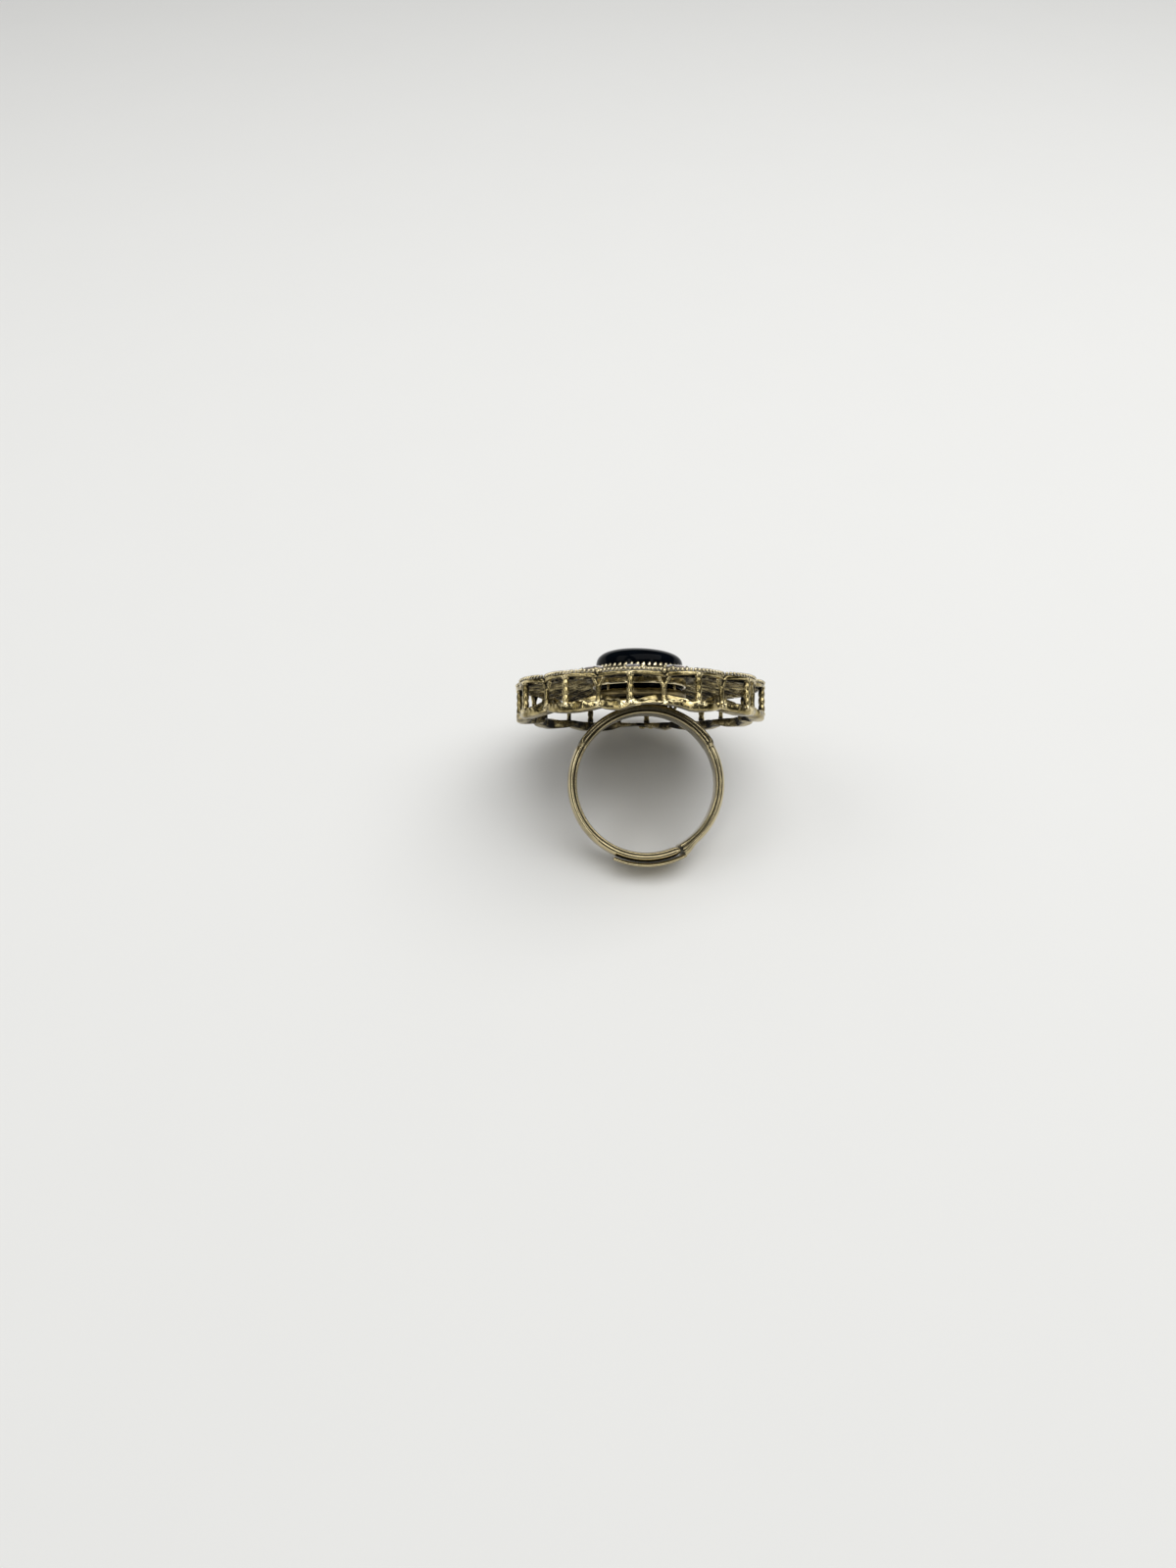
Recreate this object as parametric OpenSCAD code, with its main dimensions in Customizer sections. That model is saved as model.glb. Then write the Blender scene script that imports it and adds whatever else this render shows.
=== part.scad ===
// Adjustable cocktail ring: a round openwork flower head on a split, overlapping band.
// Origin: centre of the finger hole. Y runs along the finger, +Z points to the head.

/* [Band] */
// Diameter of the finger hole
finger_d = 17.2; // [15:0.1:21]
// Thickness of the band strip
band_t = 1.2; // [1:0.05:1.8]
// Width of the band along the finger
band_w = 3.4; // [2.4:0.1:5]
// Rise of the domed outer face of the strip
band_dome = 0.4; // [0.1:0.05:0.6]
// Width of the flattened crown under the head
crown_w = 4.4; // [3:0.1:6]
// Angle from the top at which the crown turns into the domed strip
shoulder_angle = 59; // [45:1:70]

/* [Overlap] */
// Thickness of the thin outer tongue
tongue_t = 0.45; // [0.35:0.05:0.7]
// Free gap between the two tongues
tongue_gap = 0.12; // [0.12:0.01:0.3]
// Angle from the bottom at which the inner tongue ends
inner_tip_angle = 26; // [20:1:35]
// Angle between the inner tip and the step that stops it
tip_gap_angle = 1.5; // [1:0.5:4]
// Angle from the bottom at which the outer tongue ends
outer_end_angle = 23.5; // [18:0.5:35]
// Angle over which the right strip swells out to the outer tongue
swell_angle = 14; // [8:1:20]

/* [Bending line] */
// Radial play around the round leg ends
knuckle_gap = 0.03; // [0.01:0.01:0.1]
// Height of the crown ends above the bending line
knuckle_clear = 0.35; // [0.3:0.05:0.5]

/* [Head] */
// Diameter across the petal tips
head_d = 31.2; // [26:0.2:40]
// Number of petals
petals = 12; // [8:1:14]
// Depth of the notches between petals
scallop = 0.8; // [0.3:0.1:1.5]
// Distance that the head sits off the middle of the band, towards -X
head_shift = 0.8; // [0:0.1:1.5]
// Drop of the back plane below the top of the finger hole
back_drop = 1; // [0:0.05:1.2]
// Step inwards from the finger hole's wall to the finger relief in the back frame
relief_play = 0.2; // [0:0.05:0.2]
// Height of the back frame
frame_h = 1.15; // [1.1:0.05:2]
// Height of the scoops under the back frame at the notches
scoop_h = 0.6; // [0.2:0.05:0.7]
// Diameter of the scoops
scoop_d = 6; // [3:0.5:8]
// Radial width of the back frame
frame_w = 1.9; // [1.2:0.1:3]
// Height of the open gallery between frame and rim
gallery_h = 2.7; // [1.8:0.1:5]
// Height of the front rim
rim_h = 0.6; // [0.5:0.05:2]
// Radial width of the front rim
rim_w = 0.9; // [0.6:0.1:1.5]
// Thickness of the petal plate
plate_t = 0.8; // [0.5:0.1:1.2]
// Rise of the petal plate from the rim to the collar
face_rise = 1.5; // [0.5:0.05:2.5]

/* [Gallery posts] */
// Diameter of the forked posts
fork_d = 0.7; // [0.5:0.05:1]
// Height of the fork
fork_h = 0.85; // [0.5:0.05:1.2]
// Sideways spread of each prong
fork_spread = 0.6; // [0.4:0.05:0.9]
// Diameter of the core of the beaded posts
bead_post_d = 0.55; // [0.4:0.05:0.9]
// Diameter of the beads on the posts
post_bead_d = 0.82; // [0.6:0.02:1.1]
// Number of beads on each post
post_beads = 3; // [2:1:5]
// Diameter of the ball beads on the rim
ball_d = 0.84; // [0.6:0.02:1.2]

/* [Centre stone] */
// Diameter of the cabochon
stone_d = 10.8; // [8:0.1:14]
// Height of the straight wall of the cabochon
stone_wall = 3.2; // [2.5:0.1:5]
// Height of the domed top of the cabochon
stone_dome = 2.2; // [1:0.05:4]
// Fullness of the dome's shoulders: 2 is an ellipse, more is squarer
stone_full = 2.7; // [2:0.1:4]
// Play between cabochon and bezel
stone_fit = 0.05; // [0.02:0.01:0.15]
// Wall of the bezel
bezel_t = 0.4; // [0.3:0.05:0.8]
// Number of bezel teeth
teeth = 48; // [24:1:60]
// Height of the bezel teeth
tooth_h = 0.5; // [0.3:0.05:1]
// Outer diameter of the collar around the bezel
collar_d = 14.4; // [13:0.1:18]
// Height of the collar above the petal plate
collar_h = 0.5; // [0.4:0.1:1.5]

/* [Seat] */
// Thickness of the solder between crown and bridge
solder_h = 0.3; // [0.2:0.05:0.8]
// Length of the soldered joint across the head
solder_l = 5.6; // [3:0.1:6.4]
// Thickness of the bridge under the seat
bridge_h = 0.5; // [0.4:0.05:1]
// Width of the bridge
bridge_w = 2.6; // [1.5:0.1:4]
// Height of the seat ring
seat_h = 0.8; // [0.5:0.1:1.5]
// Width of the ledge that carries the cabochon
seat_ledge = 2.4; // [0.6:0.1:3]
// Height of bare stone between seat and bezel
stone_show = 0.5; // [0.3:0.05:1]
// Number of small stays between seat and bezel
stays = 4; // [3:1:8]
// Diameter of the stays
stay_d = 0.4; // [0.3:0.02:0.44]

/* [Accent stones] */
// Diameter of the accent stones
accent_d = 2.6; // [1.6:0.1:3]
// Distance of the accent stones from the centre
accent_r = 9.8; // [9:0.1:13]
// Wall of the collets
collet_t = 0.3; // [0.2:0.05:0.5]
// Height of the collets
collet_h = 0.9; // [0.8:0.1:2]
// Height of the crown of an accent stone above its collet
accent_crown = 0.3; // [0.2:0.05:0.8]

/* [Hidden] */
$fn = 64;

overlap = 0.2;
weld = 0.04;
finger_r = finger_d / 2;
band_r = finger_r + band_t;
pivot_r = finger_r + band_t / 2;
tongue_r = band_r + tongue_gap;
step_angle = inner_tip_angle + tip_gap_angle;

head_r = head_d / 2;
notch_r = head_r - scallop;
petal_pitch = 360 / petals;
tip_turn = -petal_pitch / 4;
notch_turn = petal_pitch / 4;
lobe_steps = 12;

back_z = finger_r - back_drop;
frame_top = back_z + frame_h;
rim_bottom = frame_top + gallery_h;
rim_top = rim_bottom + rim_h;
face_top = rim_top + face_rise;

stone_r = stone_d / 2;
bezel_ir = stone_r + stone_fit;
bezel_or = bezel_ir + bezel_t;
collar_r = collar_d / 2;
bridge_z = band_r + solder_h;
seat_z = bridge_z + bridge_h;
stone_z = seat_z + seat_h;
bezel_z = stone_z + stone_show;
collar_top = face_top + collar_h;
face_tilt = atan(face_rise / (head_r - collar_r));
accent_z = rim_top + face_rise * (head_r - accent_r) / (head_r - collar_r);

metal = "#8f8358";
dark_metal = "#5d5538";

function two_digits(k) = k < 10 ? str("0", k) : str(k);

// Radius of the flower outline at an angle, measured from -Y.
function petal_share(a) = let(t = (a - notch_turn) / petal_pitch) t - floor(t);
function outline_r(a) = notch_r + scallop * pow(max(0, sin(180 * petal_share(a))), 0.8);

// Places its children, drawn on -Y, once in every petal.
module each_petal(turn) {
  for (k = [0:petals - 1]) rotate([0, 0, turn + k * petal_pitch]) children();
}

// The flower outline, moved inwards by a distance.
module flower(inset = 0) {
  count = petals * lobe_steps;
  polygon([for (i = [0:count - 1])
    let(a = notch_turn + i * 360 / count, r = outline_r(a) - inset) [r * sin(a), -r * cos(a)]]);
}

module flower_ring(z, h, w) {
  translate([0, 0, z])
    linear_extrude(h)
      difference() {
        flower();
        flower(w);
      }
}

// Half-round section of the strip: flat at radius r0, domed at radius r1.
module dome_section(r0, r1, w, dome) {
  dome_r = (w * w / 4 + dome * dome) / (2 * dome);
  intersection() {
    translate([r0, -w / 2]) square([r1 - r0, w]);
    translate([r1 - dome_r, 0]) circle(dome_r, $fn = 96);
  }
}

// Turns a section about the finger axis, from angle a0 to a1 counted from +X towards +Z.
module hoop(a0, a1) {
  rotate([90, 0, 0]) rotate_extrude(angle = a1 - a0, start = a0, $fn = 128) children();
}

module strip(a0, a1) {
  hoop(a0, a1) dome_section(finger_r, band_r, band_w, band_dome);
}

// A rod across the band, centred on the wall at an angle.
module cross_rod(a, d) {
  rotate([0, -a, 0])
    translate([pivot_r, 0, 0])
      rotate([90, 0, 0]) cylinder(h = 2 * band_w, d = d, center = true);
}

// The strip with a round end at angle a_round, running on to a_flat.
module round_ended_strip(a_round, a_flat) {
  side = sign(a_flat - a_round);
  reach = side * (band_t / pivot_r) * 180 / PI;
  strip(min(a_round, a_flat), max(a_round, a_flat));
  intersection() {
    strip(min(a_round - reach, a_round + reach), max(a_round - reach, a_round + reach));
    cross_rod(a_round, band_t);
  }
}

module shank_crown() {
  end_angle = asin(knuckle_clear / band_r);
  color(metal)
    difference() {
      union() {
        strip(end_angle, 180 - end_angle);
        hoop(90 - shoulder_angle, 90 + shoulder_angle)
          translate([finger_r, -crown_w / 2]) square([band_t, crown_w]);
      }
      for (a = [0, 180]) cross_rod(a, band_t + 2 * knuckle_gap);
    }
}

// Inner tongue: the left strip at full thickness, under the finger and up to the step.
module shank_left() {
  tip_round = 270 + inner_tip_angle - (band_t / 2 / pivot_r) * 180 / PI;
  color(metal)
    union() {
      round_ended_strip(180, 270);
      round_ended_strip(tip_round, 265);
    }
}

// Radius of the outer face of the right strip where it swells out to the tongue.
function swell_r(t) = band_r - weld + (tongue_gap + tongue_t) * (1 - cos(180 * t)) / 2;

// Points of an arc of radius r from angle a0 to a1, both counted from +X towards +Z.
function arc_points(r, a0, a1, steps) =
  [for (i = [0:steps]) let(a = a0 + i * (a1 - a0) / steps) [r * cos(a), r * sin(a)]];

module shank_right() {
  steps = 10;
  step_at = 270 + step_angle;
  swell_end = step_at + 0.4;
  swell_start = step_at + swell_angle;
  outer_arc = [for (i = [0:steps])
    let(a = swell_start - i * (swell_start - swell_end) / steps, r = swell_r(i / steps))
      [r * cos(a), r * sin(a)]];
  color(metal)
    union() {
      round_ended_strip(360, step_at);
      rotate([90, 0, 0])
        linear_extrude(band_w - 4 * weld, center = true)
          polygon(concat(outer_arc, arc_points(pivot_r, swell_end, swell_start, steps)));
      hoop(270 - outer_end_angle, swell_end + 1)
        translate([tongue_r, -band_w / 2 + weld]) square([tongue_t, band_w - 2 * weld]);
    }
}

// Solder between the crown and the bridge, shaped to the crown's outer face.
module solder_saddle() {
  color(dark_metal)
    difference() {
      translate([-solder_l / 2, -crown_w / 2, back_z])
        cube([solder_l, crown_w, bridge_z - back_z]);
      rotate([90, 0, 0]) cylinder(h = 2 * crown_w, r = band_r, center = true, $fn = 128);
    }
}

module seat_bridge() {
  color(dark_metal)
    translate([-bezel_or + overlap, -bridge_w / 2, bridge_z])
      cube([2 * (bezel_or - overlap), bridge_w, bridge_h]);
}

module stone_seat() {
  color(metal)
    translate([0, 0, seat_z])
      difference() {
        cylinder(h = seat_h, r = bezel_or);
        translate([0, 0, -1]) cylinder(h = seat_h + 2, r = stone_r - seat_ledge);
      }
}

module seat_stays() {
  color(metal)
    for (k = [0:stays - 1])
      rotate([0, 0, (k + 0.5) * 360 / stays])
        translate([(bezel_ir + bezel_or) / 2, 0, stone_z - overlap])
          cylinder(h = stone_show + 2 * overlap, d = min(stay_d, bezel_t), $fn = 24);
}

// Half section of the cabochon: straight wall, full shoulders, slightly domed top.
module cabochon() {
  steps = 18;
  shoulder = [for (i = [0:steps])
    let(a = i * 90 / steps)
      [stone_r * pow(cos(a), 2 / stone_full), stone_wall + stone_dome * pow(sin(a), 2 / stone_full)]];
  color("#0d1016")
    translate([0, 0, stone_z])
      rotate_extrude($fn = 96)
        polygon(concat([[0, 0], [stone_r, 0]], [for (i = [0:steps - 1]) shoulder[i]],
          [[0, stone_wall + stone_dome]]));
}

module bezel() {
  tooth_r = bezel_ir + bezel_t / 2;
  tooth_w = 2 * PI * tooth_r / teeth;
  color(metal)
    union() {
      translate([0, 0, bezel_z])
        difference() {
          cylinder(h = collar_top - bezel_z, r = bezel_or, $fn = 96);
          translate([0, 0, -1]) cylinder(h = collar_top - bezel_z + 2, r = bezel_ir, $fn = 96);
        }
      for (k = [0:teeth - 1])
        rotate([0, 0, k * 360 / teeth])
          translate([tooth_r, 0, collar_top - overlap])
            rotate([90, 0, 90])
              linear_extrude(bezel_t - 0.1, center = true)
                polygon([[-0.4 * tooth_w, 0], [0.4 * tooth_w, 0], [0, tooth_h + overlap]]);
    }
}

// Sloping skirt that carries the bezel on the petal plate.
module collar() {
  foot = face_top - plate_t / 2;
  color(metal)
    rotate_extrude($fn = 96)
      polygon([[bezel_or, foot], [collar_r, foot], [collar_r, face_top + 0.1], [bezel_or + 0.15, collar_top],
        [bezel_or, collar_top]]);
}

// Dished petal plate with its rim, cut to the flower outline.
module front_rosette() {
  color(metal)
    union() {
      intersection() {
        rotate_extrude($fn = 96)
          polygon([[bezel_or, face_top - plate_t], [collar_r, face_top - plate_t],
            [head_r + 1, rim_top - plate_t], [head_r + 1, rim_top], [head_r, rim_top], [collar_r, face_top],
            [bezel_or, face_top]]);
        translate([0, 0, rim_bottom]) linear_extrude(face_top) flower();
      }
      flower_ring(rim_bottom, rim_h - overlap, rim_w);
    }
}

// Scalloped ring behind the gallery, scooped at the notches and relieved where the finger passes.
module back_frame() {
  color(dark_metal)
    difference() {
      flower_ring(back_z, frame_h, frame_w);
      each_petal(notch_turn)
        translate([0, 0, back_z + scoop_h - scoop_d / 2])
          rotate([90, 0, 0]) cylinder(h = head_r + 1, d = scoop_d);
      translate([head_shift, 0, 0])
        rotate([90, 0, 0]) cylinder(h = 2 * head_r + 2, r = finger_r - relief_play, center = true, $fn = 128);
    }
}

// Moves the head off the middle of the band.
module off_centre() {
  translate([-head_shift, 0, 0]) children();
}

// Posts in the notches, forked under the rim.
module forked_posts() {
  fork_z = rim_bottom - fork_h;
  lean = atan(fork_spread / (fork_h + overlap));
  prong = norm([fork_spread, fork_h + overlap]);
  color(metal)
    each_petal(notch_turn)
      translate([0, -(notch_r - fork_d / 2 - 0.05), 0]) {
        translate([0, 0, frame_top - overlap])
          cylinder(h = fork_z - frame_top + overlap, d = fork_d, $fn = 24);
        translate([0, 0, fork_z]) {
          sphere(d = fork_d, $fn = 24);
          for (side = [-1, 1]) rotate([0, side * lean, 0]) cylinder(h = prong, d = 0.7 * fork_d, $fn = 24);
        }
      }
}

// Posts at the petal tips, dressed with beads.
module beaded_posts() {
  bead_pitch = gallery_h / post_beads;
  color(metal)
    each_petal(tip_turn)
      translate([0, -(head_r - post_bead_d / 2 - 0.05), 0]) {
        translate([0, 0, frame_top - overlap])
          cylinder(h = gallery_h + 2 * overlap, d = bead_post_d, $fn = 24);
        for (i = [0:post_beads - 1])
          translate([0, 0, frame_top + (i + 0.5) * bead_pitch]) sphere(d = post_bead_d, $fn = 24);
      }
}

// Ball beads that stand on the rim at the notches.
module ball_beads() {
  color(metal)
    each_petal(notch_turn)
      translate([0, -(notch_r - ball_d / 2), rim_top + ball_d / 4]) sphere(d = ball_d, $fn = 24);
}

// Moves its children, drawn about Z, onto the petal plate of petal k.
module on_petal(k) {
  rotate([0, 0, tip_turn + (k - 1) * petal_pitch])
    translate([0, -accent_r, accent_z])
      rotate([face_tilt, 0, 0]) children();
}

module accent_collet(k) {
  low = collet_h / 2;
  color(metal)
    on_petal(k)
      difference() {
        translate([0, 0, -low]) cylinder(h = collet_h, d1 = accent_d, d2 = accent_d + 2 * collet_t, $fn = 32);
        translate([0, 0, 0]) cylinder(h = collet_h, d = accent_d, $fn = 32);
      }
}

module accent_stone(k) {
  girdle = collet_h / 2;
  color("#b9b4a6")
    on_petal(k) {
      cylinder(h = girdle, d = accent_d, $fn = 32);
      translate([0, 0, girdle]) cylinder(h = accent_crown, d1 = accent_d, d2 = 0.55 * accent_d, $fn = 32);
    }
}

off_centre() back_frame();
off_centre() forked_posts();
off_centre() beaded_posts();
off_centre() front_rosette();
off_centre() ball_beads();
off_centre() collar();
off_centre() bezel();
off_centre() cabochon();
off_centre() stone_seat();
off_centre() seat_stays();
off_centre() seat_bridge();
for (k = [1:petals])
  off_centre() accent_collet(k);
for (k = [1:petals])
  off_centre() accent_stone(k);
solder_saddle();
shank_crown();
shank_left();
shank_right();
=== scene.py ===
import math
import bmesh
import bpy
import numpy as np
from mathutils import Matrix, Vector, noise


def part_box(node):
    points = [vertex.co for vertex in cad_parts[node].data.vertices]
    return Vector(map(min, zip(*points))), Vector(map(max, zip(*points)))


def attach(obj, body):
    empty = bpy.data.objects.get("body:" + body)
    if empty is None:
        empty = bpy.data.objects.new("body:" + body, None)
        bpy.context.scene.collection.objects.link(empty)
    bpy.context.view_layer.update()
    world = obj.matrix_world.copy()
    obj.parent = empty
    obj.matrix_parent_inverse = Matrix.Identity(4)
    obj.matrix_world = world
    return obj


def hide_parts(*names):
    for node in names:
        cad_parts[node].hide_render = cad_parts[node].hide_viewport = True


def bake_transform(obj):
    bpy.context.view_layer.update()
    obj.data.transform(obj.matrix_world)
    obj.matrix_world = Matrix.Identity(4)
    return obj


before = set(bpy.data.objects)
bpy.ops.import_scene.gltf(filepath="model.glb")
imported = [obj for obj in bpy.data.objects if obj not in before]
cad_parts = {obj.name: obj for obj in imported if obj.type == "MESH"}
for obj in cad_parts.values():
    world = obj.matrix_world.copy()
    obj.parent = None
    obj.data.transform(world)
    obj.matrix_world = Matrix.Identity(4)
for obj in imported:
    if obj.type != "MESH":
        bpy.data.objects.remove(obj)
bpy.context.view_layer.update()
print("frame loaded,", len(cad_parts), "nodes")

mm = 0.001
petals = 12
petalPitch = 2 * math.pi / petals
notchTurn = petalPitch / 4
tipTurn = -petalPitch / 4
scallop = 0.8                # depth of the notches between petals
tipMargin = 0.08             # the tips stand beside the X axis, so the box is narrower by this
rimHeight = 0.6
postStart = 0.75             # the posts start this far over the back plane, inside the frame
fingerR = 8.6

# The head sits a little off the middle of the band.
headX = (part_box("cabochon")[0][0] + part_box("cabochon")[1][0]) / 2 / mm


# Lowest and highest corner of a CAD node, in millimetres from the head's own axis.
def span(node):
    return [np.array(corner) / mm - (headX, 0, 0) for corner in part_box(node)]


headR = span("back_frame")[1][0] + tipMargin
notchR = headR - scallop
backZ, frameTop = span("back_frame")[0][2], span("back_frame")[1][2]
rimBottom, faceTop = span("front_rosette")[0][2], span("front_rosette")[1][2]
collarR, collarTop = span("collar")[1][0], span("collar")[1][2]
bezelR, bezelZ, teethTop = span("bezel")[1][0], span("bezel")[0][2], span("bezel")[1][2]
stoneR, stoneZ, stoneTop = span("cabochon")[1][0], span("cabochon")[0][2], span("cabochon")[1][2]
seatZ = span("stone_seat")[0][2]
rimTop = rimBottom + rimHeight
postFoot = backZ + postStart
bandR = span("shank_crown")[1][2]


# A socket that takes part in plain sums, such as 1 - mask or height * 0.5.
class Wire:
    def __init__(self, tree, socket=None):
        self.tree = tree
        self.socket = socket

    # Adds a node: its settings first, then the values or wires of its sockets.
    def add(self, kind, settings=None, sockets=None, out=0):
        node = self.tree.nodes.new(kind)
        for name, value in (settings or {}).items():
            setattr(node, name, value)
        for name, value in (sockets or {}).items():
            for one in value if isinstance(value, list) else [value]:
                if isinstance(one, Wire):
                    self.tree.links.new(one.socket, node.inputs[name])
                else:
                    node.inputs[name].default_value = one
        return Wire(self.tree, node.outputs[out] if node.outputs else None)

    def out(self, name):
        return Wire(self.tree, self.socket.node.outputs[name])

    def calc(self, operation, *terms):
        return self.add("ShaderNodeMath", {"operation": operation}, dict(enumerate(terms)))

    def __add__(self, other):
        return self.calc("ADD", self, other)

    def __sub__(self, other):
        return self.calc("SUBTRACT", self, other)

    def __rsub__(self, other):
        return self.calc("SUBTRACT", other, self)

    def __mul__(self, other):
        return self.calc("MULTIPLY", self, other)

    def __truediv__(self, other):
        return self.calc("DIVIDE", self, other)

    def __rtruediv__(self, other):
        return self.calc("DIVIDE", other, self)

    __radd__ = __add__
    __rmul__ = __mul__

    def clip(self):
        return self.calc("MINIMUM", self.calc("MAXIMUM", self, 0.0), 1.0)

    # Blends two colours by this wire.
    def tint(self, low, high):
        shade = [value if isinstance(value, Wire) else (*value, 1.0) for value in (low, high)]
        return self.add("ShaderNodeMix", {"data_type": "RGBA"}, {0: self, 6: shade[0], 7: shade[1]}, 2)

    def noise(self, scale, detail, **more):
        values = {"Vector": self, "Scale": scale, "Detail": detail, **more}
        return self.add("ShaderNodeTexNoise", {}, values)

    # How open the surface is around a point: low in corners, or low at edges when it looks inside.
    def openness(self, reach, inside=False):
        settings = {"samples": 8, "inside": inside}
        return self.add("ShaderNodeAmbientOcclusion", settings, {"Distance": reach}, 1)

    def objectPlace(self):
        return self.add("ShaderNodeTexCoord", out=3)

    # Reads the per-point stain values, which hold patina and painted shade.
    def storedStainAndShade(self):
        return self.add("ShaderNodeAttribute", {"attribute_name": "stain"}, {}, 2)


def newMaterial(name):
    material = bpy.data.materials.new(name)
    material.use_nodes = True
    tree = material.node_tree
    return material, Wire(tree), tree.nodes["Principled BSDF"]


def feed(shader, **sockets):
    for name, value in sockets.items():
        target = shader.inputs[name.replace("_", " ")]
        if isinstance(value, Wire):
            value.tree.links.new(value.socket, target)
        else:
            target.default_value = value


castLook = {
    "bright": (0.95, 0.82, 0.49),
    "gold": (0.43, 0.335, 0.135),
    "olive": (0.115, 0.088, 0.030),
    # Near black colour for patina and painted shade in corners.
    "sootAndShade": (0.008, 0.006, 0.003),
    "sootAndShadeReach": 0.0009,     # how far out of a corner the patina and painted shade grow, in metres
    "sootAndShadeLevel": 1.4,
    "wearReach": 0.00022,    # how far in from an edge it is burnished
    "polish": 0.22,
    "blotchScale": 620.0,
    "grainScale": 4200.0,
    "grainDepth": 0.55,
    "bump": 0.00012,
}
# Lighter copy of the cast gold, with less dark in its corners, for the milgrain, bezel teeth and balls:
# painted highlight.
grainGoldLitLook = dict(castLook, bright=(1.0, 0.90, 0.64), gold=(0.80, 0.68, 0.40),
                     olive=(0.36, 0.29, 0.14), sootAndShadeReach=0.0005, sootAndShadeLevel=1.25, polish=0.16,
                     grainDepth=0.2)
# Darker, duller copy of the cast gold for the seat, stays and bridge under the plate: painted shade.
innerShadedLook = dict(castLook, bright=(0.50, 0.40, 0.20), gold=(0.24, 0.185, 0.085),
                 olive=(0.10, 0.078, 0.032), sootAndShadeLevel=1.5, polish=0.36)
solderLook = dict(castLook, bright=(0.45, 0.38, 0.25), gold=(0.24, 0.20, 0.11),
                  olive=(0.10, 0.08, 0.04), sootAndShadeLevel=1.3, polish=0.42)


# Antique gold casting: burnished on its edges and high spots, dark in its corners with patina and painted
# shade.
def castMaterial(name, look):
    material, tree, shader = newMaterial(name)
    place = tree.objectPlace()
    blotch = place.noise(look["blotchScale"], 3.0)
    grain = place.noise(look["grainScale"], 4.0)
    # Ambient occlusion: where little is open around a point, the colour is darkened, patina plus painted
    # shade.
    hollow = tree.openness(look["sootAndShadeReach"])
    edge = tree.openness(look["wearReach"], True)
    stain = tree.storedStainAndShade()
    worn = ((1 - edge) * 1.5 + (blotch - 0.42) * 1.6).clip()
    # Darkening from occlusion and blotches, and from the stored stain values: patina plus painted shade.
    grimeAndShade = (1 - hollow) * 2.1 - 0.45 + (0.5 - blotch) * 2.2 + (grain - 0.5) * 1.2
    sootAndShade = (grimeAndShade * look["sootAndShadeLevel"] + stain).clip()
    body = ((blotch - 0.35) * 3.2 + (grain - 0.5) * 0.8).clip().tint(look["olive"], look["gold"])
    metal = (worn * 0.85).tint(body, look["bright"])
    height = (grain * 0.5 + blotch) * (1 - sootAndShade * 0.4)
    bump = tree.add("ShaderNodeBump", {}, {"Strength": look["grainDepth"], "Distance": look["bump"],
                                           "Height": height})
    feed(shader, Base_Color=sootAndShade.tint(metal, look["sootAndShade"]),
         Metallic=1 - sootAndShade * 0.55,
         Roughness=look["polish"] + sootAndShade * 0.38 + (grain - 0.5) * 0.25 - worn * 0.07,
         Normal=bump)
    return material


bandLook = {
    "bright": (0.80, 0.70, 0.45),
    "gold": (0.50, 0.415, 0.225),
    "tarnishAndShade": (0.135, 0.105, 0.048),
    "sootAndShade": (0.012, 0.009, 0.005),
    "sootAndShadeReach": 0.0006,
    "polish": 0.11,
    "cloudScale": 260.0,
    "rubScale": 3000.0,
    "rubDepth": 0.12,
    "bump": 0.00005,
}


# Smooth strip, polished by wear, with tarnish where nothing rubs it, and patina and painted shade in its
# corners and where the stored values say.
def bandMaterial(name, look):
    material, tree, shader = newMaterial(name)
    place = tree.objectPlace()
    cloud = place.noise(look["cloudScale"], 4.0)
    rub = place.noise(look["rubScale"], 5.0, Roughness=0.7)
    hollow = tree.openness(look["sootAndShadeReach"])
    stain = tree.storedStainAndShade()
    # Tarnish from noise plus the stored values: real tarnish and painted shade.
    tarnishAndShade = ((cloud - 0.42) * 2.4 + (rub - 0.5) * 0.8 + stain * 0.8).clip()
    # Darkening from occlusion and the stored values: patina plus painted shade.
    sootAndShade = ((1 - hollow) * 2.2 - 0.65 + stain * 0.9 + (rub - 0.5) * 0.6).clip()
    metal = (tarnishAndShade * 0.85).tint(cloud.tint(look["gold"], look["bright"]), look["tarnishAndShade"])
    bump = tree.add("ShaderNodeBump", {}, {"Strength": look["rubDepth"], "Distance": look["bump"],
                                           "Height": rub + cloud * 2})
    feed(shader, Base_Color=sootAndShade.tint(metal, look["sootAndShade"]),
         Metallic=1 - sootAndShade * 0.4,
         Roughness=look["polish"] + tarnishAndShade * 0.13 + sootAndShade * 0.3 + (rub - 0.5) * 0.12,
         Normal=bump)
    return material


cabochonLook = {"black": (0.0010, 0.0014, 0.0024), "navy": (0.0020, 0.0040, 0.0072), "polish": 0.10,
                "ior": 1.35, "specular": 0.08, "swirlScale": 180.0, "scuffScale": 2400.0}


def cabochonMaterial(name, look):
    material, tree, shader = newMaterial(name)
    place = tree.objectPlace()
    swirl = place.noise(look["swirlScale"], 3.0, Distortion=0.6)
    scuff = place.noise(look["scuffScale"], 5.0)
    feed(shader, Base_Color=((swirl - 0.35) * 2.4).clip().tint(look["black"], look["navy"]),
         Roughness=look["polish"] + (scuff - 0.45) * 0.06)
    shader.inputs["IOR"].default_value = look["ior"]
    shader.inputs["Specular IOR Level"].default_value = look["specular"]
    return material


accentLook = {"smoke": (0.36, 0.34, 0.33), "blush": (0.86, 0.72, 0.68), "foil": 0.72, "polish": 0.05,
              "coat": 1.0, "coatPolish": 0.02, "shiftScale": 420.0}


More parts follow.
